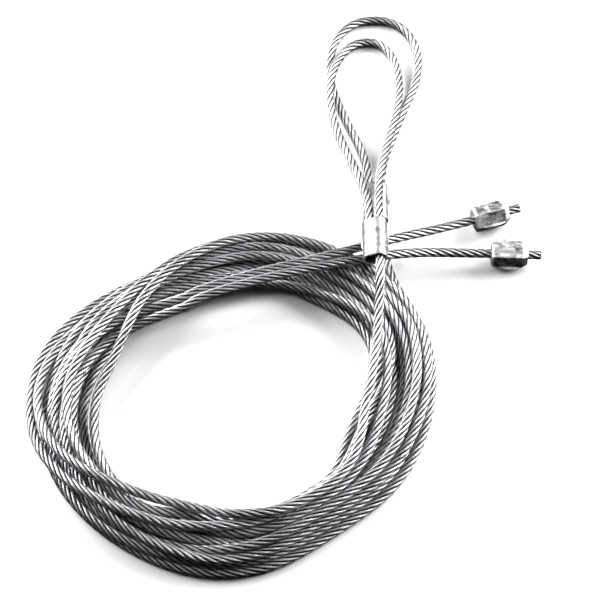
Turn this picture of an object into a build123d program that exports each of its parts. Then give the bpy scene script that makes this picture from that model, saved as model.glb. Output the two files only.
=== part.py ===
from build123d import *

import math
import os

# A pair of lift cables of galvanised steel wire rope, coiled together and laid flat.
# Each cable has a soft eye, held by a crimped oval sleeve, at one end, and at the other
# end a crimped stop with a short stub of rope past it.
# Millimetres. Z = 0 is the surface that the pair lies on. The origin is on that surface,
# in the middle of the space the pair covers. The eyes point along +Y, the tails along +X.
# Cable a is the upper one at the eyes, cable b the lower one.

# Wire rope: six outer strands laid right-handed round one core strand
ROPE_D = 3.0
ROPE_R = ROPE_D / 2
LAY_LENGTH = 18.0
OUTER_STRANDS = 6
STRAND_D = 0.94
CORE_D = 1.02
STRAND_RING_R = (CORE_D + STRAND_D) / 2 + 0.02

# Crimped oval sleeve of an eye
SLEEVE_L = 13.8
SLEEVE_W = 7.9
SLEEVE_H = 6.0
SLEEVE_EDGE = 0.4
BORE_OFFSET = 1.6
DEAD_END_RECESS = 1.6

# The bore that a crimp leaves round a rope
BORE_R = ROPE_R + 0.02

# A rope runs on straight for this far before it bends, from a sleeve and from a stop
STRAIGHT = 5.0
STOP_STRAIGHT = 11.0

# Crimped stop
STOP_L = 11.3
STOP_SIDES = 6
STOP_CORNER_R = 4.3
STOP_CHAMFER = 0.5

# The nose is the taper of a stop's outer end: how deep it is and how far along it runs
STOP_NOSE = 1.0
STOP_NOSE_L = 1.7

STUB_L = 4.2

# Thin fins of metal squeezed out between the crimping dies
FIN_T = 0.45
FIN_INSET = 1.2
SLEEVE_FIN_R = 4.7
STOP_FIN_R = 5.1

# Coil of both ropes: an oval ring, wider in X
COIL_CENTRE = (-17.0, -46.7)
COIL_RX = 61.5
COIL_RY = 58.0
COIL_BAND = 20.6
COIL_H = 8.4
COIL_EDGE = 2.4

# An arc of a rope takes this share of the shorter of its two runs
ARC_SHARE = 0.45

# Each cable: sleeve mouth (centre of its lower end), roll of the sleeve about +Y,
# inner face of the stop, heading of the stop from +X, roll of the stop about its axis
CABLES = {
    "a": {
        "mouth": (25.8, -4.9, 15.4),
        "sleeve_roll": 25.0,
        "stop_face": (63.0, 4.3, 4.4),
        "stop_heading": -2.0,
        "stop_roll": 20.0,
    },
    "b": {
        "mouth": (27.0, 17.6, 3.0),
        "sleeve_roll": 0.0,
        "stop_face": (58.1, 17.2, 4.4),
        "stop_heading": 17.5,
        "stop_roll": -12.0,
    },
}

# Routes of the ropes where they aren't coiled. The sleeves and stops add the straight
# ends. An eye runs from its dead end round to the live side, a lead runs from the
# sleeve to the coil, and a tail runs from the coil to the stop.
EYE_ROUTES = {
    "a": [
        (23.6, 23.0, 12.0),
        (20.2, 34.3, 9.1),
        (16.0, 46.3, 7.0),
        (12.9, 58.8, 5.8),
        (12.2, 69.8, 5.2),
        (14.0, 79.8, 4.2),
        (17.3, 87.7, 2.5),
        (22.1, 93.2, 1.5),
        (29.4, 93.2, 1.5),
        (33.8, 87.7, 1.7),
        (35.8, 79.3, 2.4),
        (36.0, 67.8, 4.0),
        (34.0, 56.8, 5.7),
        (30.4, 42.8, 7.8),
        (28.2, 31.0, 10.3),
        (27.5, 22.0, 12.9),
    ],
    "b": [
        (21.9, 48.8, 2.5),
        (16.8, 61.3, 1.8),
        (12.2, 76.8, 1.5),
        (13.4, 92.8, 1.5),
        (21.5, 103.2, 1.5),
        (35.5, 103.0, 1.5),
        (42.7, 92.3, 1.5),
        (42.8, 77.3, 1.5),
        (36.9, 62.8, 1.7),
        (32.2, 48.8, 2.4),
    ],
}
LEAD_ROUTES = {
    "a": [
        (26.8, -19.2, 12.0),
        (25.7, -32.2, 10.2),
        (23.6, -46.7, 10.1),
    ],
    "b": [
        (30.3, -1.7, 3.1),
        (34.8, -12.4, 3.3),
    ],
}
TAIL_ROUTES = {
    "a": [
        (-29.0, -16.4, 11.0),
        (-13.5, -10.7, 11.2),
        (3.5, -5.9, 11.1),
        (21.0, -1.6, 10.4),
        (37.0, 2.8, 7.4),
    ],
    "b": [
        (-29.0, -12.9, 10.1),
        (-13.0, -7.1, 10.1),
        (4.0, -2.4, 10.2),
        (22.0, 3.2, 10.0),
        (35.5, 8.9, 7.4),
    ],
}


def corner_radii(route):
    """The radius of the arc at each corner of a route, from its runs and its turn."""
    points = [Vector(*point) for point in route]
    runs = [end - start for start, end in zip(points, points[1:])]
    radii = []
    for before, after in zip(runs, runs[1:]):
        shorter = min(before.length, after.length)
        half_turn = math.radians(before.get_angle(after)) / 2
        radii.append(ARC_SHARE * shorter / math.tan(half_turn))
    return radii


def rope_tube(route, name):
    """A plain round rope along straight runs joined by tangent arcs."""
    radii = corner_radii(route)
    with BuildPart() as tube:
        with BuildLine():
            path = FilletPolyline(*route, radius=radii)
        with BuildSketch(Plane(origin=path @ 0, z_dir=path % 0)):
            Circle(ROPE_R)
        sweep()
    length = path.length
    share = tube.part.volume / (math.pi * ROPE_R**2 * length)
    print(f"{name}: {length:.1f} mm, volume over section times length {share:.4f}")
    print("  radii", ", ".join(f"{radius:.1f}" for radius in radii))
    tube.part.label = name
    return tube.part


def sleeve_plane(cable):
    """The sleeve's mouth: local z runs along the sleeve towards the eye."""
    roll = math.radians(cable["sleeve_roll"])
    across = (math.cos(roll), 0, math.sin(roll))
    return Plane(origin=cable["mouth"], x_dir=across, z_dir=(0, 1, 0))


def stop_plane(cable):
    """The stop's inner face: local z runs out along the rope, local x to one fin."""
    heading = math.radians(cable["stop_heading"])
    roll = math.radians(cable["stop_roll"])
    along = (math.cos(heading), math.sin(heading), 0)
    fin = (
        -math.sin(heading) * math.cos(roll),
        math.cos(heading) * math.cos(roll),
        math.sin(roll),
    )
    return Plane(origin=cable["stop_face"], x_dir=fin, z_dir=along)


def in_plane(plane, x, z):
    """The point at local x and z of a plane, as a plain tuple."""
    return tuple(plane.from_local_coords(Vector(x, 0, z)))


def fin_pair(plane, root_r, tip_r, length):
    """Two lens-shaped fins on opposite sides of a crimped piece, in local x and z."""
    with BuildPart() as fins:
        with BuildSketch(Plane(origin=plane.origin, x_dir=plane.z_dir, z_dir=-plane.y_dir)):
            with BuildLine():
                ThreePointArc(
                    (FIN_INSET, root_r),
                    (length / 2, tip_r),
                    (length - FIN_INSET, root_r),
                )
                Polyline(
                    (length - FIN_INSET, root_r),
                    (length - FIN_INSET, root_r - 2 * FIN_T),
                    (FIN_INSET, root_r - 2 * FIN_T),
                    (FIN_INSET, root_r),
                )
            make_face()
            mirror(about=Plane.XZ)
        extrude(amount=FIN_T / 2, both=True)
    return fins.part


def eye_sleeve(cable, name):
    """A crimped oval sleeve with one bore for the live rope and one for its dead end."""
    plane = sleeve_plane(cable)
    fins = fin_pair(plane, SLEEVE_W / 2 - FIN_T, SLEEVE_FIN_R, SLEEVE_L)
    with BuildPart() as sleeve:
        with BuildSketch(plane):
            SlotOverall(SLEEVE_W, SLEEVE_H)
        extrude(amount=SLEEVE_L)
        ends = sleeve.faces().filter_by(Axis.Y)
        fillet(ends.edges(), SLEEVE_EDGE)
        add(fins)
        with BuildSketch(plane):
            with Locations((-BORE_OFFSET, 0), (BORE_OFFSET, 0)):
                Circle(BORE_R)
        extrude(amount=SLEEVE_L, mode=Mode.SUBTRACT)
    sleeve.part.label = name
    return sleeve.part


def stop_sleeve(cable, name):
    """A stop crimped to a hexagon round the rope."""
    plane = stop_plane(cable)
    fins = fin_pair(plane, STOP_CORNER_R - FIN_T, STOP_FIN_R, STOP_L)
    with BuildPart() as stop:
        with BuildSketch(plane):
            RegularPolygon(STOP_CORNER_R, side_count=STOP_SIDES)
        extrude(amount=STOP_L)
        faces = stop.faces().sort_by(Axis(plane.origin, plane.z_dir))
        inner = faces[0]
        outer = faces[-1]
        chamfer(inner.edges(), STOP_CHAMFER)
        chamfer(outer.edges(), STOP_NOSE, STOP_NOSE_L, reference=outer)
        add(fins)
        with BuildSketch(plane):
            Circle(BORE_R)
        extrude(amount=STOP_L, mode=Mode.SUBTRACT)
    stop.part.label = name
    return stop.part


def end_strands(plane, name):
    """The six outer strands of the stub of rope past a stop, each its own solid."""
    with BuildPart() as strand:
        with BuildLine():
            lay = Helix(pitch=LAY_LENGTH, height=STUB_L, radius=STRAND_RING_R)
        with BuildSketch(Plane(origin=lay @ 0, z_dir=(0, 0, 1))):
            Circle(STRAND_D / 2)
        sweep(is_frenet=True)
    with BuildPart() as strands:
        steps = range(OUTER_STRANDS)
        with Locations(*[plane.location * Rotation(0, 0, 360 / OUTER_STRANDS * k) for k in steps]):
            add(strand.part)
    strands.part.label = name
    return strands.part


def end_core(plane, name):
    """The core strand of the stub of rope past a stop."""
    with BuildPart() as core:
        with BuildSketch(plane):
            Circle(CORE_D / 2)
        extrude(amount=STUB_L)
    core.part.label = name
    return core.part


def coil_ring(name):
    """The outer shape of the coil that both ropes are wound into."""
    with BuildPart() as coil:
        with BuildSketch():
            with Locations(COIL_CENTRE):
                Ellipse(COIL_RX, COIL_RY)
                Ellipse(COIL_RX - COIL_BAND, COIL_RY - COIL_BAND, mode=Mode.SUBTRACT)
        extrude(amount=COIL_H)
        fillet(coil.faces().filter_by(Axis.Z).edges(), COIL_EDGE)
    coil.part.label = name
    return coil.part


os.makedirs("parts", exist_ok=True)
pieces = [coil_ring("coil")]
for key, cable in CABLES.items():
    sleeve_at = sleeve_plane(cable)
    stop_at = stop_plane(cable)
    stub_at = Plane(in_plane(stop_at, 0, STOP_L), x_dir=stop_at.x_dir, z_dir=stop_at.z_dir)
    dead_side = [
        in_plane(sleeve_at, -BORE_OFFSET, DEAD_END_RECESS),
        in_plane(sleeve_at, -BORE_OFFSET, SLEEVE_L + STRAIGHT),
    ]
    live_side = [
        in_plane(sleeve_at, BORE_OFFSET, SLEEVE_L + STRAIGHT),
        in_plane(sleeve_at, BORE_OFFSET, 0),
    ]
    lead_start = in_plane(sleeve_at, BORE_OFFSET, -STRAIGHT)
    tail_end = [in_plane(stop_at, 0, -STOP_STRAIGHT), tuple(stub_at.origin)]
    eye_route = dead_side + EYE_ROUTES[key] + live_side
    lead_route = live_side[-1:] + [lead_start] + LEAD_ROUTES[key]
    tail_route = TAIL_ROUTES[key] + tail_end
    pieces += [
        rope_tube(eye_route, f"eye_rope_{key}"),
        eye_sleeve(cable, f"eye_sleeve_{key}"),
        rope_tube(lead_route, f"lead_rope_{key}"),
        rope_tube(tail_route, f"tail_rope_{key}"),
        stop_sleeve(cable, f"stop_sleeve_{key}"),
        end_strands(stub_at, f"end_strands_{key}"),
        end_core(stub_at, f"end_core_{key}"),
    ]

for piece in pieces:
    export_step(piece, f"parts/{piece.label}.step")

box = Compound(children=pieces).bounding_box()
print("box", box.min, box.max)
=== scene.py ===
"""A pair of coiled wire-rope lift cables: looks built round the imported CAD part."""

import math

import bpy
import numpy as np
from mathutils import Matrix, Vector, noise


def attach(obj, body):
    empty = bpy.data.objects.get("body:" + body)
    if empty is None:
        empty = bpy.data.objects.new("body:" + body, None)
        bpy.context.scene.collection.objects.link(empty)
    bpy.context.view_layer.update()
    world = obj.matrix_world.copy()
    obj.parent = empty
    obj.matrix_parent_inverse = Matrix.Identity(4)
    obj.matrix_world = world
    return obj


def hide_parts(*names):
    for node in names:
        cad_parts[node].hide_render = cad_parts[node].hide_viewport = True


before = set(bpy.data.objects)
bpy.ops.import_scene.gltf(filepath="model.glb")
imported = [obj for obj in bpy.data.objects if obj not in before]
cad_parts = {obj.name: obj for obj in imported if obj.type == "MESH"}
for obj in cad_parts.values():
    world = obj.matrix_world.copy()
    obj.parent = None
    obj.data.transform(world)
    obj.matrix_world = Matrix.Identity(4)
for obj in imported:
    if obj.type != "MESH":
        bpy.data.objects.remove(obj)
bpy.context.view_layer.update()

MM = 0.001

# ---------------------------------------------------------------- camera

CAMERA_AT = (0.0026, -0.30695, 0.47491)
CAMERA_TARGET = (0.0026, -0.0102, 0.0)
CAMERA_LENS = 107.2

scene = bpy.context.scene


def aim(obj, target):
    """Turns an object so that its -Z looks at target."""
    direction = Vector(target) - obj.location
    obj.rotation_euler = direction.to_track_quat("-Z", "Y").to_euler()


camera = bpy.data.objects.new("camera", bpy.data.cameras.new("camera"))
camera.data.lens = CAMERA_LENS
camera.data.clip_start = 0.01
camera.location = CAMERA_AT
aim(camera, CAMERA_TARGET)
scene.collection.objects.link(camera)
scene.camera = camera

# ---------------------------------------------------------------- cords

LAY_LENGTH = 0.018
STRANDS = 6
STRAND_R = 0.0005
RING_R = 0.00098
CORE_R = 0.00051

# Each rope from its dead end in the sleeve, round the eye and back through the sleeve, to the
# coil, and then from the coil through the stop to the end of its stub. Metres.
EYE_TO_COIL = {
    "a": [
        (0.0244, -0.0033, 0.01475),
        (0.0244, 0.0139, 0.01475),
        (0.0236, 0.0230, 0.0120),
        (0.0202, 0.0343, 0.0091),
        (0.0160, 0.0463, 0.0070),
        (0.0129, 0.0588, 0.0058),
        (0.0122, 0.0698, 0.0052),
        (0.0140, 0.0798, 0.0042),
        (0.0173, 0.0877, 0.0025),
        (0.0221, 0.0932, 0.0015),
        (0.0294, 0.0932, 0.0015),
        (0.0338, 0.0877, 0.0017),
        (0.0358, 0.0793, 0.0024),
        (0.0360, 0.0678, 0.0040),
        (0.0340, 0.0568, 0.0057),
        (0.0304, 0.0428, 0.0078),
        (0.0282, 0.0310, 0.0103),
        (0.0275, 0.0220, 0.0129),
        (0.0272, 0.0139, 0.01606),
        (0.0272, 0.0052, 0.01606),
        (0.0272, 0.0003, 0.01606),
        (0.0272, -0.0099, 0.01606),
        (0.0268, -0.0192, 0.0120),
        (0.0257, -0.0322, 0.0102),
        (0.0236, -0.0467, 0.0101),
    ],
    "b": [
        (0.0254, 0.0192, 0.0030),
        (0.0254, 0.0364, 0.0030),
        (0.0219, 0.0488, 0.0025),
        (0.0168, 0.0613, 0.0018),
        (0.0122, 0.0768, 0.0015),
        (0.0134, 0.0928, 0.0015),
        (0.0215, 0.1032, 0.0015),
        (0.0355, 0.1030, 0.0015),
        (0.0427, 0.0923, 0.0015),
        (0.0428, 0.0773, 0.0015),
        (0.0369, 0.0628, 0.0017),
        (0.0322, 0.0488, 0.0024),
        (0.0286, 0.0364, 0.0030),
        (0.0286, 0.0126, 0.0030),
        (0.0303, -0.0017, 0.0031),
        (0.0348, -0.0124, 0.0033),
    ],
}
COIL_TO_STUB = {
    "a": [
        (-0.0290, -0.0164, 0.0110),
        (-0.0135, -0.0107, 0.0112),
        (0.0035, -0.0059, 0.0111),
        (0.0210, -0.0016, 0.0104),
        (0.0370, 0.0028, 0.0074),
        (0.0520, 0.00468, 0.0044),
        (0.0785, 0.00376, 0.0044),
    ],
    "b": [
        (-0.0290, -0.0129, 0.0101),
        (-0.0130, -0.0071, 0.0101),
        (0.0040, -0.0024, 0.0102),
        (0.0220, 0.0032, 0.0100),
        (0.0355, 0.0089, 0.0074),
        (0.04761, 0.01389, 0.0044),
        (0.07288, 0.02186, 0.0044),
    ],
}

# The coil. The band that its turns fill, in millimetres from its centre: (turn, inner, outer)
COIL_CENTRE = (-17.0, -46.7)
BAND = [
    (0, 39.8, 58.2), (0.03, 39.2, 56.3), (0.06, 39.6, 54.8), (0.09, 41.0, 52.4),
    (0.12, 42.2, 49.2), (0.15, 42.0, 47.6), (0.18, 41.9, 49.0), (0.21, 42.6, 52.3),
    (0.25, 42.8, 54.8), (0.29, 43.0, 56.4), (0.34, 45.6, 57.2), (0.40, 47.2, 58.4),
    (0.45, 47.2, 58.2), (0.5, 46.0, 57.0), (0.53, 43.6, 56.4), (0.56, 41.4, 55.8),
    (0.59, 39.0, 55.8), (0.62, 36.4, 55.4), (0.66, 34.2, 54.8), (0.70, 34.1, 54.4),
    (0.73, 35.4, 55.6), (0.76, 37.6, 57.0), (0.80, 39.4, 58.2), (0.85, 40.6, 59.0),
    (0.89, 44.0, 60.4), (0.92, 45.8, 60.8), (0.95, 44.4, 60.4), (0.975, 41.6, 59.4),
]
# How each rope is wound, clockwise from the side of +X: (turn, place across the band, level above
# or below the other turns). PLACE_INNER is on the band's inner edge, PLACE_OUTER on its outer one.
PLACE_INNER, PLACE_OUTER = 41.3, 58.2
WINDING = {
    "a": [
        (0, 40.7, 28), (0.06, 42.0, 28), (0.12, 44.5, 27), (0.22, 43.0, 25), (0.29, 38.5, 24),
        (0.35, 37.5, 23), (0.385, 41.5, 22.5), (0.42, 49.5, 21.5), (0.455, 57.0, 19.5),
        (0.485, 61, 15), (0.515, 62, 7), (0.545, 59, -0.5), (0.58, 55, -1.5),
        (0.62, 53, -1.5), (0.7, 53.5, -1), (0.8, 53, -1), (1.0, 50, -1),
        (1.25, 47, -1), (1.5, 47.5, -0.5), (1.75, 52, 1), (2, 56, 2.5), (2.25, 57, 3),
        (2.5, 53.5, 3), (2.75, 48, 3.5), (3, 44, 5), (3.25, 44, 6), (3.5, 49, 6.5),
        (3.75, 54, 6.5), (4, 53, 8), (4.25, 50, 9), (4.5, 46, 9.5), (4.75, 44, 9.5),
        (5, 46, 10), (5.25, 46, 11), (5.35, 41, 12.5), (5.5, 33.5, 16), (5.56, 37.0, 19),
        (5.62, 46, 22), (5.7, 54, 22), (5.8, 57.5, 16), (6, 57, 13), (6.25, 54.5, 12.5),
        (6.45, 50, 14), (6.54, 44, 17), (6.62, 40.5, 20), (6.69, 38.7, 24),
    ],
    "b": [
        (-0.081, 60.5, 0), (0, 58.5, 0), (0.25, 57.5, 0), (0.42, 54.5, 0), (0.53, 53.5, 0),
        (0.6, 52, 0), (0.75, 56.5, 0.5), (1, 54, 1), (1.25, 52, 1.5), (1.5, 51.5, 1.5),
        (1.75, 47.5, 2), (2, 45, 3.5), (2.25, 47, 4), (2.5, 50.5, 4.5), (2.75, 52, 4.8),
        (2.9, 50.5, 6), (3.0, 44.5, 7), (3.05, 41, 9), (3.1, 40.5, 14), (3.16, 41.5, 17),
        (3.25, 45.5, 18.5), (3.32, 47, 18.5), (3.37, 49, 18.5), (3.41, 55, 18),
        (3.445, 61, 17), (3.48, 64.6, 12), (3.52, 65, 4), (3.555, 63, -2.5), (3.59, 58.5, -3.4),
        (3.64, 56, -3.6), (3.7, 54.5, -3.6),
        (3.75, 54, -3.3), (4, 48, -3), (4.25, 44.5, -3), (4.5, 45, -3), (4.75, 48, -3),
        (4.95, 43.5, -2), (5.05, 38, -1), (5.10, 37.0, 3), (5.17, 37, 13), (5.25, 40, 14.5),
        (5.35, 46, 16), (5.5, 48, 17), (5.57, 46.5, 19), (5.64, 50.5, 21), (5.71, 56, 18),
        (5.8, 58.5, 13), (6, 54, 11), (6.25, 51, 11), (6.45, 53.5, 12), (6.56, 48.5, 15),
        (6.63, 44, 19), (6.69, 41.6, 22),
    ],
}
LAST_TURN = {"a": 6.69, "b": 6.6958}
POINTS_PER_TURN = 60
# Windows that smooth the two tables: reach in turns, number of samples
BAND_WINDOW = (0.02, 5)
WINDING_WINDOW = (0.035, 7)
# The stack that the turns settle from, in millimetres: from level to level, and up to level 0
LEVEL = 3.4
LOWEST_LEVEL = 12.0
# The last points before the coil, which its turns settle against. They start lifted with the
# stack if the rope enters it above this level.
LEAD_POINTS = 7
LIFTED_FROM = 5

# Settling, with times as shares of the whole run and lengths in millimetres
SETTLE_STEPS = 400
PRESSED_BY, PRESS_RATE = 0.5, 3.6
LIFTED_UNTIL = 0.6
FALL_FROM, CALM_FROM = 0.4, 0.85
FALL, CALM_FALL = 0.12, 0.03
BENDING, MOST_BENT_BACK = (0.45, 0.45, 0.35), 0.6
HOME_PULL = 0.05
SEARCH_EVERY, SEARCH_MARGIN, NEIGHBOURS = 3, 0.8, 3
STRETCH_EARLY, STRETCH_LATE, SQUEEZE = 0.15, 1.0, 0.5
BEND_PASSES, LENGTH_PASSES = 3, 2
CONTACT_PASSES, CALM_CONTACT_PASSES = 4, 8


def averaged(at, columns, column, reach, count):
    """A column of a table against its first one, averaged over a window round each value."""
    shifts = np.linspace(-reach, reach, count)
    return sum(np.interp(at + s, columns[:, 0], columns[:, column]) for s in shifts) / count


def band_edges(turn):
    """The inner and outer radius of the coil's band at a turn."""
    rows = np.array([(t + k, lo, hi) for k in (-1, 0, 1) for t, lo, hi in BAND])
    part = turn % 1
    return averaged(part, rows, 1, *BAND_WINDOW), averaged(part, rows, 2, *BAND_WINDOW)


def wound(key):
    """Points of a rope's turns, stacked in the order of their levels."""
    table = np.array(WINDING[key], float)
    first, last = table[0, 0], LAST_TURN[key]
    count = int(round((last - first) * POINTS_PER_TURN))
    turn = np.linspace(first, last, count + 1)[1:-1]
    place = averaged(turn, table, 1, *WINDING_WINDOW)
    level = averaged(turn, table, 2, *WINDING_WINDOW)
    lo, hi = band_edges(turn)
    radius = lo + (place - PLACE_INNER) / (PLACE_OUTER - PLACE_INNER) * (hi - lo)
    angle = -2 * np.pi * turn
    return np.c_[
        COIL_CENTRE[0] + radius * np.cos(angle),
        COIL_CENTRE[1] + radius * np.sin(angle),
        LOWEST_LEVEL + LEVEL * level,
    ]


def nearest(p1, q1, p2, q2):
    """Where pairs of segments come nearest, as shares along each."""
    d1, d2, r = q1 - p1, q2 - p2, p1 - p2
    a, e = (d1 * d1).sum(1), (d2 * d2).sum(1)
    b, c, f = (d1 * d2).sum(1), (d1 * r).sum(1), (d2 * r).sum(1)
    den = a * e - b * b
    s = np.where(den > 1e-9 * a * e, (b * f - c * e) / np.maximum(den, 1e-12), 0.5)
    t = np.clip((b * np.clip(s, 0, 1) + f) / e, 0, 1)
    return np.clip((b * t - c) / a, 0, 1), t


def settle(points, free, rest_z, chain):
    """Lets the stacked turns down onto the floor and each other: the stack is pressed flat,
    ropes push each other apart where they touch, and they resist bending and stretching."""
    d = 2 * (RING_R + STRAND_R) / MM
    start, x = points.copy(), points.copy()
    i, j = chain[:, 0], chain[:, 1]
    weight = free.astype(float)
    held = ~free
    length = np.linalg.norm((start[j] - start[i])[:, :2], axis=1)
    stiff = held[i] & held[j]
    inner = np.where(free)[0]
    tau = PRESSED_BY * SETTLE_STEPS / PRESS_RATE
    for step in range(SETTLE_STEPS):
        done = step / SETTLE_STEPS
        now, later = math.exp(-step / tau), math.exp(-(step + 1) / tau)
        early = done < LIFTED_UNTIL
        if done < PRESSED_BY:
            x[free, 2] *= later / now
        x[free, 2] -= 0.0 if done < FALL_FROM else FALL if done < CALM_FROM else CALM_FALL
        lift = later if early else 0.0
        x[held, 2] = rest_z[held] + (start[held, 2] - rest_z[held]) * lift
        shape = start * [1, 1, later]
        for _ in range(BEND_PASSES):
            moved = x - shape
            uneven = 0.5 * (moved[inner - 1] + moved[inner + 1]) - moved[inner]
            x[inner] += np.clip(uneven * BENDING, -MOST_BENT_BACK, MOST_BENT_BACK)
        x[inner, :2] += HOME_PULL * (start[inner, :2] - x[inner, :2])
        if step % SEARCH_EVERY == 0:
            middle = (x[i] + x[j]) / 2
            half = np.linalg.norm(x[j] - x[i], axis=1) / 2
            apart = ((middle[:, None, :] - middle[None, :, :]) ** 2).sum(-1)
            close = apart < (half[:, None] + half[None, :] + d + SEARCH_MARGIN) ** 2
            one, two = np.where(np.triu(close, 1))
            use = (np.abs(one - two) > NEIGHBOURS) & ~(stiff[one] & stiff[two])
            one, two = one[use], two[use]
        for _ in range(CONTACT_PASSES if done < CALM_FROM else CALM_CONTACT_PASSES):
            s, t = nearest(x[i[one]], x[j[one]], x[i[two]], x[j[two]])
            s, t = s[:, None], t[:, None]
            gap = (x[i[one]] * (1 - s) + x[j[one]] * s) - (x[i[two]] * (1 - t) + x[j[two]] * t)
            dist = np.linalg.norm(gap, axis=1)
            hit = dist < d
            a, b, s, t = one[hit], two[hit], s[hit, 0], t[hit, 0]
            dist = np.maximum(dist[hit], 1e-6)
            gap = gap[hit] / dist[:, None]
            ends = ((i[a], 1 - s, 1), (j[a], s, 1), (i[b], 1 - t, -1), (j[b], t, -1))
            total = sum(w * w * weight[k] for k, w, _ in ends)
            push = np.where(total > 1e-6, (d - dist) / np.maximum(total, 1e-6), 0) * 0.5
            shift, count = np.zeros_like(x), np.zeros(len(x))
            for k, w, sign in ends:
                np.add.at(shift, k, (sign * push * w * weight[k])[:, None] * gap)
                np.add.at(count, k, w * weight[k] > 0)
            x += shift / np.sqrt(np.maximum(count, 1))[:, None]
            x[free, 2] = np.maximum(x[free, 2], d / 2)
        for _ in range(LENGTH_PASSES):
            run = x[j] - x[i]
            l = np.linalg.norm(run, axis=1)
            total = weight[i] + weight[j]
            k = np.where(total > 0, (l - length) / np.maximum(total, 1e-9) / l, 0) * 0.5
            k *= np.where(l > length, STRETCH_EARLY if early else STRETCH_LATE, SQUEEZE)
            shift = np.zeros_like(x)
            np.add.at(shift, i, (weight[i] * k)[:, None] * run)
            np.add.at(shift, j, -(weight[j] * k)[:, None] * run)
            if early:
                shift[:, 2] = 0
            x += 0.5 * shift
            x[free, 2] = np.maximum(x[free, 2], d / 2)
    return x


def coil_turns():
    """The settled turns of both ropes, in metres, by cable. Their straight and listed
    stretches beside the coil are held, so the turns settle against them too."""
    points, free, rest, chain, spans = [], [], [], [], {}
    total = 0
    for key in "ab":
        lead = np.array(EYE_TO_COIL[key][-LEAD_POINTS:]) / MM
        tail = np.array(COIL_TO_STUB[key]) / MM
        turns = wound(key)
        rest += [lead[:, 2], np.zeros(len(turns)), tail[:, 2]]
        first, last = WINDING[key][0][2], WINDING[key][-1][2]
        lifted_lead = lead + [0, 0, first * LEVEL + (LOWEST_LEVEL if first > LIFTED_FROM else 0)]
        lifted_tail = tail + [0, 0, last * LEVEL + LOWEST_LEVEL]
        rope = np.vstack([lifted_lead, turns, lifted_tail])
        points.append(rope)
        free.append(np.zeros(len(rope), bool))
        free[-1][len(lead) : len(lead) + len(turns)] = True
        chain += [(total + n, total + n + 1) for n in range(len(rope) - 1)]
        spans[key] = (total + len(lead), total + len(lead) + len(turns))
        total += len(rope)
    settled = settle(
        np.vstack(points), np.concatenate(free), np.concatenate(rest), np.array(chain)
    )
    return {key: settled[a:b] * MM for key, (a, b) in spans.items()}


def centreline(key, turns):
    """Points along a rope's smooth line, read from a NURBS spline."""
    control = EYE_TO_COIL[key] + [tuple(p) for p in turns] + COIL_TO_STUB[key]
    curve = bpy.data.curves.new(f"line_{key}", "CURVE")
    curve.dimensions = "3D"
    spline = curve.splines.new("NURBS")
    spline.points.add(len(control) - 1)
    for point, at in zip(spline.points, control):
        point.co = (*at, 1)
    spline.order_u = 3
    spline.use_endpoint_u = True
    spline.resolution_u = 6
    holder = bpy.data.objects.new(f"line_{key}", curve)
    mesh = bpy.data.meshes.new_from_object(holder)
    line = np.array([v.co[:] for v in mesh.vertices])
    bpy.data.objects.remove(holder)
    bpy.data.curves.remove(curve)
    bpy.data.meshes.remove(mesh)
    return line


def even(line, step):
    """The same line with points an even distance apart."""
    at = np.r_[0, np.cumsum(np.linalg.norm(np.diff(line, axis=0), axis=1))]
    count = int(round(at[-1] / step))
    s = np.linspace(0, at[-1], count + 1)
    return np.c_[[np.interp(s, at, line[:, k]) for k in range(3)]].T, s


def frames(line):
    """Tangents and one normal at each point of a line, turning as little as they can."""
    tangent = np.gradient(line, axis=0)
    tangent /= np.linalg.norm(tangent, axis=1)[:, None]
    normal = np.zeros_like(line)
    n = np.cross(tangent[0], (0.0, 0.0, 1.0))
    if np.linalg.norm(n) < 0.1:
        n = np.array((1.0, 0.0, 0.0))
    for k, t in enumerate(tangent):
        n = n - t * np.dot(n, t)
        n /= np.linalg.norm(n)
        normal[k] = n
    return tangent, normal, np.cross(tangent, normal)


# ---------------------------------------------------------------- strands

STEP = 0.001
SIDES, CORE_SIDES = 12, 8
# Ends of strands are rounded: (distance past the cut, share of the radius)
ROUNDING = [(0.00012, 0.93), (0.00024, 0.72), (0.00031, 0.40)]


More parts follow.
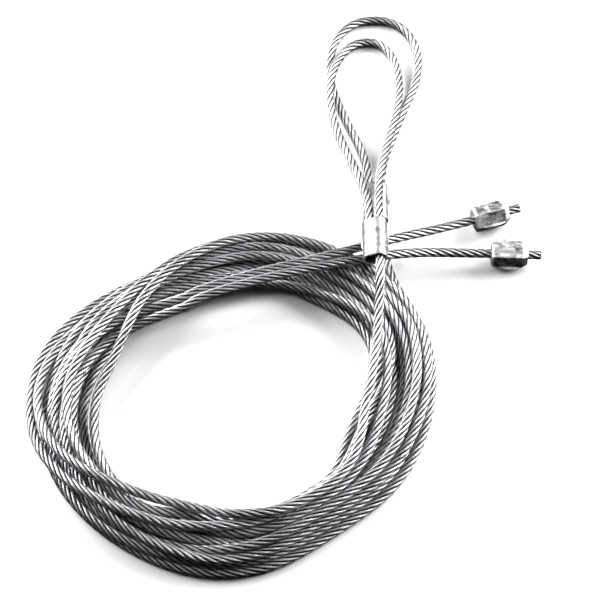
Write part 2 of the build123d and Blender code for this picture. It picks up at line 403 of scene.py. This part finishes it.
def tube(name, line, along, radius, sides, outward=None):
    """A closed tube along a line, with a map of its own: round it, and along it in metres."""
    tangent, normal, binormal = frames(line)
    if outward is not None:
        normal = outward - tangent * (outward * tangent).sum(1)[:, None]
        normal /= np.linalg.norm(normal, axis=1)[:, None]
        binormal = np.cross(tangent, normal)
    centre, size, at = line, np.full(len(line), radius), along
    for past, share in ROUNDING:
        centre = np.vstack([line[0] - tangent[0] * past, centre, line[-1] + tangent[-1] * past])
        normal = np.vstack([normal[:1], normal, normal[-1:]])
        binormal = np.vstack([binormal[:1], binormal, binormal[-1:]])
        size = np.r_[radius * share, size, radius * share]
        at = np.r_[along[0] - past, at, along[-1] + past]
    angle = np.linspace(0, 2 * np.pi, sides, endpoint=False)
    ring = (
        np.cos(angle)[None, :, None] * normal[:, None, :]
        + np.sin(angle)[None, :, None] * binormal[:, None, :]
    )
    verts = centre[:, None, :] + ring * size[:, None, None]
    rows = len(centre)
    row, col = np.meshgrid(np.arange(rows - 1), np.arange(sides), indexing="ij")
    nxt = (col + 1) % sides
    quads = np.stack(
        [row * sides + col, row * sides + nxt, (row + 1) * sides + nxt, (row + 1) * sides + col],
        -1,
    ).reshape(-1, 4)
    faces = quads.tolist()
    faces.append(list(range(sides))[::-1])
    faces.append([(rows - 1) * sides + k for k in range(sides)])
    mesh = bpy.data.meshes.new(name)
    mesh.from_pydata(verts.reshape(-1, 3).tolist(), [], faces)
    u = np.stack([col, col + 1, col + 1, col], -1).reshape(-1) / sides
    v = np.stack([at[row], at[row], at[row + 1], at[row + 1]], -1).reshape(-1)
    uv = np.zeros((len(mesh.loops), 2))
    uv[: len(u), 0], uv[: len(u), 1] = u, v
    layer = mesh.uv_layers.new(name="lay")
    layer.data.foreach_set("uv", uv.ravel())
    mesh.polygons.foreach_set("use_smooth", [True] * len(mesh.polygons))
    mesh.update()
    obj = bpy.data.objects.new(name, mesh)
    scene.collection.objects.link(obj)
    return obj


def rope(key, line):
    """The six outer strands and the core strand of a rope, laid right-handed."""
    centre, s = even(line, STEP)
    tangent, normal, binormal = frames(centre)
    core = tube(f"core_{key}", centre[::2], s[::2], CORE_R, CORE_SIDES)
    strands = []
    for k in range(STRANDS):
        angle = 2 * np.pi * (s / LAY_LENGTH + k / STRANDS)
        out = np.cos(angle)[:, None] * normal + np.sin(angle)[:, None] * binormal
        strand = tube(
            f"strand_{key}_{k + 1}", centre + RING_R * out, s, STRAND_R, SIDES, outward=out
        )
        strands.append(strand)
    return strands, core, centre


# ---------------------------------------------------------------- materials


def node_material(name):
    """An empty node material and its tools."""
    material = bpy.data.materials.new(name)
    material.use_nodes = True
    nodes = material.node_tree.nodes
    nodes.clear()
    out = nodes.new("ShaderNodeOutputMaterial")
    shader = nodes.new("ShaderNodeBsdfPrincipled")
    material.node_tree.links.new(shader.outputs[0], out.inputs[0])
    return material, nodes, material.node_tree.links, shader


def math_node(nodes, links, kind, a, b=None):
    """A math node with its inputs linked or set."""
    node = nodes.new("ShaderNodeMath")
    node.operation = kind
    for slot, value in enumerate((a, b)):
        if value is None:
            continue
        if isinstance(value, (int, float)):
            node.inputs[slot].default_value = value
        else:
            links.new(value, node.inputs[slot])
    return node.outputs[0]


def ramp(nodes, links, factor, stops):
    """A colour ramp of greys."""
    node = nodes.new("ShaderNodeValToRGB")
    elements = node.color_ramp.elements
    while len(elements) < len(stops):
        elements.new(0.5)
    for element, (at, grey) in zip(elements, stops):
        element.position = at
        element.color = (grey, grey, grey * 1.01, 1)
    links.new(factor, node.inputs[0])
    return node.outputs[0]


def speckle(nodes, links, vector, scale, detail, roughness=0.5):
    """A noise texture."""
    node = nodes.new("ShaderNodeTexNoise")
    node.inputs["Scale"].default_value = scale
    node.inputs["Detail"].default_value = detail
    node.inputs["Roughness"].default_value = roughness
    links.new(vector, node.inputs["Vector"])
    return node.outputs[0]


def multiplied(nodes, links, first, second):
    """Two colours multiplied."""
    node = nodes.new("ShaderNodeMix")
    node.data_type = "RGBA"
    node.blend_type = "MULTIPLY"
    node.inputs[0].default_value = 1
    links.new(first, node.inputs[6])
    links.new(second, node.inputs[7])
    return node.outputs[2]


def bumped(nodes, links, height, strength, distance, normal=None):
    """A normal that follows a height, over another normal if there is one."""
    node = nodes.new("ShaderNodeBump")
    node.inputs["Strength"].default_value = strength
    node.inputs["Distance"].default_value = distance
    links.new(height, node.inputs["Height"])
    if normal is not None:
        links.new(normal, node.inputs["Normal"])
    return node.outputs[0]


WIRE_LAY = 0.009
WIRES = 6
# Slightly over 1, so that the height between two wires stays a real number
WIRE_ROUND = 1.02
# How much brighter the sharp edges of a fitting are than its lightest grey:
# worn bare metal and a painted highlight along the ridges
WORN_AND_HIGHLIGHT_GREY, WORN_AND_HIGHLIGHT_BLUE = 1.15, 1.16


def wire_material():
    """Galvanised wires, laid back in each strand so that they run along the rope."""
    material, nodes, links, shader = node_material("galvanised_wire")
    uv = nodes.new("ShaderNodeUVMap")
    uv.uv_map = "lay"
    split = nodes.new("ShaderNodeSeparateXYZ")
    links.new(uv.outputs[0], split.inputs[0])
    round_it = math_node(nodes, links, "MULTIPLY", split.outputs[0], WIRES)
    along = math_node(nodes, links, "MULTIPLY", split.outputs[1], WIRES / WIRE_LAY)
    x = math_node(nodes, links, "FRACT", math_node(nodes, links, "ADD", round_it, along))
    x = math_node(nodes, links, "SUBTRACT", math_node(nodes, links, "MULTIPLY", x, 2), 1)
    height = math_node(
        nodes, links, "SQRT",
        math_node(nodes, links, "SUBTRACT", WIRE_ROUND, math_node(nodes, links, "MULTIPLY", x, x)),
    )
    # 1 on the crown of the strand, 0 on the side that lies in the rope; this masks the painted
    # shade between strands
    turn = math_node(nodes, links, "MULTIPLY", split.outputs[0], 2 * math.pi)
    crown = math_node(nodes, links, "COSINE", turn)
    crown = math_node(nodes, links, "MULTIPLY", math_node(nodes, links, "ADD", crown, 1), 0.5)

    place = nodes.new("ShaderNodeTexCoord").outputs["Object"]
    spots = speckle(nodes, links, place, scale=900, detail=4)
    patches = speckle(nodes, links, place, scale=120, detail=3)
    zinc = ramp(nodes, links, patches, [(0.3, 0.46), (0.55, 0.66), (0.75, 0.82)])
    # Painted shade: each strand is darkened on the sides that turn into the rope, where the
    # strands shade each other
    painted_strand_shade = ramp(nodes, links, crown, [(0.46, 0.0), (0.70, 0.13), (0.93, 1.0)])
    # Painted shade: darker in the grooves between the wires
    painted_wire_shade = ramp(nodes, links, height, [(0.3, 0.08), (0.75, 1.0)])
    colour = multiplied(nodes, links, multiplied(nodes, links, zinc, painted_strand_shade), painted_wire_shade)
    links.new(colour, shader.inputs["Base Color"])
    shader.inputs["Metallic"].default_value = 1
    rough = ramp(nodes, links, spots, [(0.3, 0.32), (0.7, 0.50)])
    links.new(rough, shader.inputs["Roughness"])

    wires = bumped(nodes, links, height, strength=0.8, distance=0.00012)
    fine = bumped(nodes, links, spots, strength=0.35, distance=0.00004, normal=wires)
    links.new(fine, shader.inputs["Normal"])
    return material


def aluminium_material(name, low, high, scuff_scale, scuff_stretch):
    """Crimped aluminium: mottled, with fine scuffs along the die's travel."""
    material, nodes, links, shader = node_material(name)
    place = nodes.new("ShaderNodeTexCoord").outputs["Object"]
    mottle = speckle(nodes, links, place, scale=420, detail=5, roughness=0.6)
    stretch = nodes.new("ShaderNodeMapping")
    stretch.inputs["Scale"].default_value = scuff_stretch
    links.new(place, stretch.inputs["Vector"])
    scuffs = speckle(nodes, links, stretch.outputs[0], scale=scuff_scale, detail=6, roughness=0.7)
    both = math_node(
        nodes, links, "ADD",
        math_node(nodes, links, "MULTIPLY", mottle, 0.5),
        math_node(nodes, links, "MULTIPLY", scuffs, 0.5),
    )
    colour = ramp(nodes, links, both, [(0.40, low), (0.5, (low + high) / 2), (0.58, high)])
    # Sharp edges brighter: worn bare metal, and a painted highlight along the ridges
    edges = nodes.new("ShaderNodeNewGeometry")
    wear_and_highlight_mask = ramp(nodes, links, edges.outputs["Pointiness"], [(0.52, 0.0), (0.60, 1.0)])
    wear_and_highlight = nodes.new("ShaderNodeMix")
    wear_and_highlight.data_type = "RGBA"
    links.new(wear_and_highlight_mask, wear_and_highlight.inputs[0])
    links.new(colour, wear_and_highlight.inputs[6])
    wear_and_highlight.inputs[7].default_value = (high * WORN_AND_HIGHLIGHT_GREY, high * WORN_AND_HIGHLIGHT_GREY, high * WORN_AND_HIGHLIGHT_BLUE, 1)
    links.new(wear_and_highlight.outputs[2], shader.inputs["Base Color"])
    shader.inputs["Metallic"].default_value = 1
    rough = ramp(nodes, links, scuffs, [(0.35, 0.42), (0.65, 0.66)])
    links.new(rough, shader.inputs["Roughness"])
    dents = bumped(nodes, links, both, strength=0.6, distance=0.00012)
    links.new(dents, shader.inputs["Normal"])
    return material


WIRE = wire_material()
SLEEVE_METAL = aluminium_material("crimped_aluminium", 0.15, 0.46, 760, (1.0, 0.45, 1.0))
STOP_METAL = aluminium_material("stop_aluminium", 0.10, 0.82, 900, (0.4, 1.0, 1.0))

# ---------------------------------------------------------------- crimped pieces

# Each cable: mouth of the sleeve and roll about +Y, inner face of the stop, its heading from
# +X and its roll about its own axis. Millimetres and degrees.
FITTINGS = {
    "a": ((25.8, -4.9, 15.4), 25.0, (63.0, 4.3, 4.4), -2.0, 20.0),
    "b": ((27.0, 17.6, 3.0), 0.0, (58.1, 17.2, 4.4), 17.5, -12.0),
}
SLEEVE_L, SLEEVE_W, SLEEVE_H = 13.8, 7.9, 6.0
# Rings at a sleeve's two ends: (distance from the end, growth of the outline, depth inside). The
# wall is 0.75 thick.
SLEEVE_EDGE = 0.28
SLEEVE_COIL_END = [
    (0, -0.85, 2.4), (0, -0.75, 0.5), (0, -0.65, 0.06), (0, -0.28, 0), (0.07, -0.09, 0),
    (SLEEVE_EDGE, 0, 0),
]
SLEEVE_EYE_END = [
    (SLEEVE_EDGE, 0, 0), (0.07, -0.09, 0), (0, -0.28, 0), (0, -0.65, 0.06), (0, -0.75, 0.4),
    (0, -0.85, 1.4),
]
# Rings that lie further inside than this are in the recess, and stay smooth
SLEEVE_RECESS = -0.3
SLEEVE_STEPS, SLEEVE_POINTS = 22, 72
SLEEVE_WAIST = 0.10
# The dip between the two ropes: its half width, its depth and the flats that it is pressed in
DIP_HALF_W, DIP, DIP_FLATS = 2.6, 0.16, 0.9
SLEEVE_ROUGH, SLEEVE_ROUGH_SCALE = 0.09, 0.55
SLEEVE_FIN_ROOT, SLEEVE_FIN_TIP = 0.25, 4.7
# Fins: (side, start, end, seed)
SLEEVE_FINS = [(1, 3.2, 10.6, 1.3), (-1, 3.6, 11.2, 4.1)]
STOP_L, STOP_CORNER_R, STOP_CHAMFER = 11.3, 4.3, 0.5
STOP_NOSE, STOP_NOSE_L = 1.0, 1.7
STOP_BORE_R = 1.53
# The mouths of a stop's bore: (depth, how much wider than the bore)
STOP_MOUTH = [(1.2, 0), (0.35, 0.12), (0, 0.5)]
STOP_STEPS = 14
STOP_ROUND_R, STOP_CORNER_POINTS, STOP_SIDE_POINTS = 0.35, 4, 6
STOP_ROUGH, STOP_FACE_ROUGH, STOP_ROUGH_SCALE, STOP_SEED = 0.07, 0.05, 0.6, 7.0
STOP_FIN_ROOT, STOP_FIN_TIP = 0.3, 5.1
STOP_FINS = [(1, 1.2, 9.6, 2.7), (-1, 1.2, 9.6, 5.9)]
FIN_T, FIN_TIP_SHARE, FIN_TIP_L = 0.45, 0.22, 0.1
FIN_STEPS, FIN_ROOTED, FIN_LEAST, FIN_FULLNESS = 26, 0.5, 0.02, 0.6
FIN_RAGGED, FIN_RAGGED_SCALE = 0.10, 0.9
FIN_WAVE, FIN_WAVE_SCALE = 0.08, 0.8
SLEEVE_SHARP, STOP_SHARP = 40, 25


def stadium(half_w, half_h, count):
    """Points round a slot shape, from +x through +y."""
    flat = 2 * (half_w - half_h)
    arc = math.pi * half_h
    total = 2 * (flat + arc)
    points = []
    for k in range(count):
        s = k / count * total
        if s < arc / 2:
            a = s / half_h
            points.append((half_w - half_h + half_h * math.cos(a), half_h * math.sin(a)))
        elif s < arc / 2 + flat:
            points.append((half_w - half_h - (s - arc / 2), half_h))
        elif s < arc * 1.5 + flat:
            a = math.pi / 2 + (s - arc / 2 - flat) / half_h
            points.append((half_h - half_w + half_h * math.cos(a), half_h * math.sin(a)))
        elif s < arc * 1.5 + 2 * flat:
            points.append((half_h - half_w + (s - arc * 1.5 - flat), -half_h))
        else:
            a = 1.5 * math.pi + (s - arc * 1.5 - 2 * flat) / half_h
            points.append((half_w - half_h + half_h * math.cos(a), half_h * math.sin(a)))
    return np.array(points)


def hexagon(corner_r, round_r, per_corner, per_side):
    """Points round a hexagon with rounded corners and one corner on +x."""
    points = []
    inset = corner_r - round_r / math.cos(math.pi / 6)
    for k in range(6):
        mid = math.pi / 3 * k
        centre = np.array((math.cos(mid), math.sin(mid))) * inset
        arc = []
        for n in range(per_corner):
            a = mid - math.pi / 6 + math.pi / 3 * n / (per_corner - 1)
            arc.append(centre + round_r * np.array((math.cos(a), math.sin(a))))
        points += arc
        nxt = math.pi / 3 * (k + 1)
        centre2 = np.array((math.cos(nxt), math.sin(nxt))) * inset
        a = nxt - math.pi / 6
        end = centre2 + round_r * np.array((math.cos(a), math.sin(a)))
        for n in range(1, per_side):
            points.append(arc[-1] + (end - arc[-1]) * n / per_side)
    return np.array(points)


def loft(verts, faces, rings):
    """Adds rings of points joined by quads, closed at both ends by a fan."""
    base, n = len(verts), len(rings[0])
    for ring in rings:
        verts += [tuple(p) for p in ring]
    for r in range(len(rings) - 1):
        for k in range(n):
            a, b = base + r * n + k, base + r * n + (k + 1) % n
            faces.append((a, b, b + n, a + n))
    faces.append(tuple(base + k for k in range(n))[::-1])
    faces.append(tuple(base + (len(rings) - 1) * n + k for k in range(n)))


def fin(verts, faces, side, root, tip, start, end, seed):
    """A thin lens of metal squeezed out between the dies, in local x and z."""
    rings = []
    for k in range(FIN_STEPS + 1):
        f = k / FIN_STEPS
        z = start + (end - start) * f
        ragged = noise.noise(Vector((z * FIN_RAGGED_SCALE, seed, 0.3))) * FIN_RAGGED
        bulge = math.sin(math.pi * f) ** FIN_FULLNESS
        reach = root + max(FIN_LEAST, (tip - root) * bulge + ragged * bulge)
        wave = FIN_WAVE * math.sin(z * FIN_WAVE_SCALE + seed)
        inner = root - FIN_ROOTED
        t0, t1 = FIN_T / 2, FIN_T * FIN_TIP_SHARE
        profile = [
            (inner, -t0), (root, -t0), (reach - FIN_TIP_L, -t1 + wave), (reach, wave),
            (reach - FIN_TIP_L, t1 + wave), (root, t0), (inner, t0),
        ]
        ring = [(side * x, y, z) for x, y in profile]
        rings.append(ring if side > 0 else ring[::-1])
    loft(verts, faces, rings)


def roughened(points, amount, scale, seed):
    """Points pushed along x and y by smooth noise, as dies leave a soft metal."""
    out = []
    for x, y, z in points:
        push = noise.noise(Vector((x * scale, y * scale, z * scale + seed))) * amount
        r = math.hypot(x, y) or 1.0
        out.append((x + x / r * push, y + y / r * push, z))
    return out


def place(verts, origin, x_dir, z_dir):
    """Local millimetres to the frame's metres."""
    x_dir, z_dir = Vector(x_dir).normalized(), Vector(z_dir).normalized()
    y_dir = z_dir.cross(x_dir)
    origin = Vector(origin)
    return [(origin + x_dir * x + y_dir * y + z_dir * z) * MM for x, y, z in verts]


def make(name, verts, faces, material, sharp):
    """A mesh object in the scene, smooth but for its sharp edges."""
    mesh = bpy.data.meshes.new(name)
    mesh.from_pydata([tuple(v) for v in verts], [], faces)
    mesh.validate()
    mesh.polygons.foreach_set("use_smooth", [True] * len(mesh.polygons))
    mesh.set_sharp_from_angle(angle=math.radians(sharp))
    mesh.materials.append(material)
    obj = bpy.data.objects.new(name, mesh)
    scene.collection.objects.link(obj)
    return obj


def sleeve(key):
    """An oval sleeve pressed onto two ropes, open in a shallow recess at each end."""
    mouth, roll = FITTINGS[key][:2]
    verts, faces = [], []

    def ring(z, grow, recess=0.0):
        waist = SLEEVE_WAIST * math.sin(math.pi * min(max(z / SLEEVE_L, 0), 1)) ** 2
        half_w = SLEEVE_W / 2 - waist + grow
        half_h = SLEEVE_H / 2 - waist * 0.6 + grow
        points = []
        for x, y in stadium(half_w, half_h, SLEEVE_POINTS):
            near = 0.5 * (1 + math.cos(math.pi * x / DIP_HALF_W)) if abs(x) < DIP_HALF_W else 0.0
            y -= math.copysign(DIP * near, y) if abs(y) > half_h * DIP_FLATS else 0.0
            points.append((x, y, z + recess))
        if grow > SLEEVE_RECESS:
            points = roughened(points, SLEEVE_ROUGH, SLEEVE_ROUGH_SCALE, ord(key))
        return points

    rings = [ring(z, grow, depth) for z, grow, depth in SLEEVE_COIL_END]
    for k in range(1, SLEEVE_STEPS):
        rings.append(ring(SLEEVE_EDGE + (SLEEVE_L - 2 * SLEEVE_EDGE) * k / SLEEVE_STEPS, 0))
    rings += [ring(SLEEVE_L - z, grow, -depth) for z, grow, depth in SLEEVE_EYE_END]
    loft(verts, faces, rings)
    root = SLEEVE_W / 2 - SLEEVE_FIN_ROOT
    for side, start, end, seed in SLEEVE_FINS:
        fin(verts, faces, side, root, SLEEVE_FIN_TIP, start, end, seed + ord(key))
    tilt = math.radians(roll)
    points = place(verts, mouth, (math.cos(tilt), 0, math.sin(tilt)), (0, 1, 0))
    piece = make(f"sleeve_{key}", points, faces, SLEEVE_METAL, SLEEVE_SHARP)
    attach(piece, "root")
    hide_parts(f"eye_sleeve_{key}")


def stop(key):
    """A stop pressed to a hexagon round the rope, with fins where the dies met."""
    _, _, face, heading, roll = FITTINGS[key]
    verts, faces = [], []

    def ring(z, radius, amount):
        outline = hexagon(radius, STOP_ROUND_R, STOP_CORNER_POINTS, STOP_SIDE_POINTS)
        points = [(x, y, z) for x, y in outline]
        if not amount:
            return points
        return roughened(points, amount, STOP_ROUGH_SCALE, STOP_SEED + ord(key))

    mouth = [(z, STOP_BORE_R + wider) for z, wider in STOP_MOUTH]
    rings = [ring(z, radius, 0) for z, radius in mouth]
    rings.append(ring(0, STOP_CORNER_R - STOP_CHAMFER, STOP_FACE_ROUGH))
    for k in range(STOP_STEPS + 1):
        z = STOP_CHAMFER + (STOP_L - STOP_CHAMFER - STOP_NOSE_L) * k / STOP_STEPS
        rings.append(ring(z, STOP_CORNER_R, STOP_ROUGH))
    rings.append(ring(STOP_L, STOP_CORNER_R - STOP_NOSE, STOP_FACE_ROUGH))
    rings += [ring(STOP_L - z, radius, 0) for z, radius in reversed(mouth)]
    loft(verts, faces, rings)
    root = STOP_CORNER_R - STOP_FIN_ROOT
    for side, start, end, seed in STOP_FINS:
        fin(verts, faces, side, root, STOP_FIN_TIP, start, end, seed + ord(key))
    h, r = math.radians(heading), math.radians(roll)
    fin_dir = (-math.sin(h) * math.cos(r), math.cos(h) * math.cos(r), math.sin(r))
    points = place(verts, face, fin_dir, (math.cos(h), math.sin(h), 0))
    piece = make(f"stop_{key}", points, faces, STOP_METAL, STOP_SHARP)
    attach(piece, "root")
    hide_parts(f"stop_sleeve_{key}")
    return piece


# ---------------------------------------------------------------- build

turns = coil_turns()
for key in "ab":
    sleeve(key)
    end_stop = stop(key)
    strands, core, line = rope(key, centreline(key, turns[key]))
    for piece in [*strands, core]:
        piece.data.materials.append(WIRE)
        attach(piece, "root")
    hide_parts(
        "coil", f"eye_rope_{key}", f"lead_rope_{key}", f"tail_rope_{key}",
        f"end_strands_{key}", f"end_core_{key}",
    )
    length = float(np.linalg.norm(np.diff(line, axis=0), axis=1).sum())
    print(f"rope {key}: {length:.3f} m, top {line[:, 2].max() / MM:.1f} mm")

# ---------------------------------------------------------------- studio

FLOOR_HALF = 3.0
# The floor lies just under the ropes, so that they don't share a plane
FLOOR_Z = -0.00002
FLOOR_GREY, FLOOR_ROUGHNESS = 0.9, 0.9
ROOM_GREY, ROOM_STRENGTH = 0.5, 0.03
# Lamps: name, place, size, watts. Those over the far floor shine straight down, in a spread
# narrow enough to miss the object, and the others are aimed at it.
LAMPS = [
    ("left", (-0.62, 0.38, 0.40), (0.8, 0.5), 18),
    ("right", (0.66, 0.36, 0.40), (0.8, 0.5), 20),
    ("top", (0.0, -0.10, 0.9), (0.30, 0.30), 1.1),
]
FAR_LAMPS = [
    ("far_floor_behind", (0.0, 2.6, 1.6), (4.0, 1.0), 60),
    ("far_floor_in_front", (0.0, -2.6, 1.6), (4.0, 1.0), 60),
]
FAR_SPREAD = math.radians(70)


def soft_lamp(name, at, size, power):
    """A rectangular lamp that shines straight down until it is aimed."""
    lamp = bpy.data.lights.new(name, "AREA")
    lamp.shape = "RECTANGLE"
    lamp.size, lamp.size_y = size
    lamp.energy = power
    obj = bpy.data.objects.new(name, lamp)
    obj.location = at
    scene.collection.objects.link(obj)
    return obj


def studio():
    """A plain pale floor, a dim grey room and soft lamps."""
    mesh = bpy.data.meshes.new("floor")
    s = FLOOR_HALF
    mesh.from_pydata([(-s, -s, 0), (s, -s, 0), (s, s, 0), (-s, s, 0)], [], [(0, 1, 2, 3)])
    floor = bpy.data.objects.new("floor", mesh)
    floor.location.z = FLOOR_Z
    scene.collection.objects.link(floor)
    material, _, _, shader = node_material("pale_floor")
    shader.inputs["Base Color"].default_value = (FLOOR_GREY, FLOOR_GREY, FLOOR_GREY, 1)
    shader.inputs["Roughness"].default_value = FLOOR_ROUGHNESS
    mesh.materials.append(material)
    floor.visible_glossy = False

    world = bpy.data.worlds.new("room")
    world.use_nodes = True
    background = world.node_tree.nodes["Background"]
    background.inputs[0].default_value = (ROOM_GREY, ROOM_GREY, ROOM_GREY, 1)
    background.inputs[1].default_value = ROOM_STRENGTH
    scene.world = world

    for lamp in LAMPS:
        aim(soft_lamp(*lamp), (0, 0, 0))
    for lamp in FAR_LAMPS:
        soft_lamp(*lamp).data.spread = FAR_SPREAD
    scene.view_settings.view_transform = "Standard"


studio()
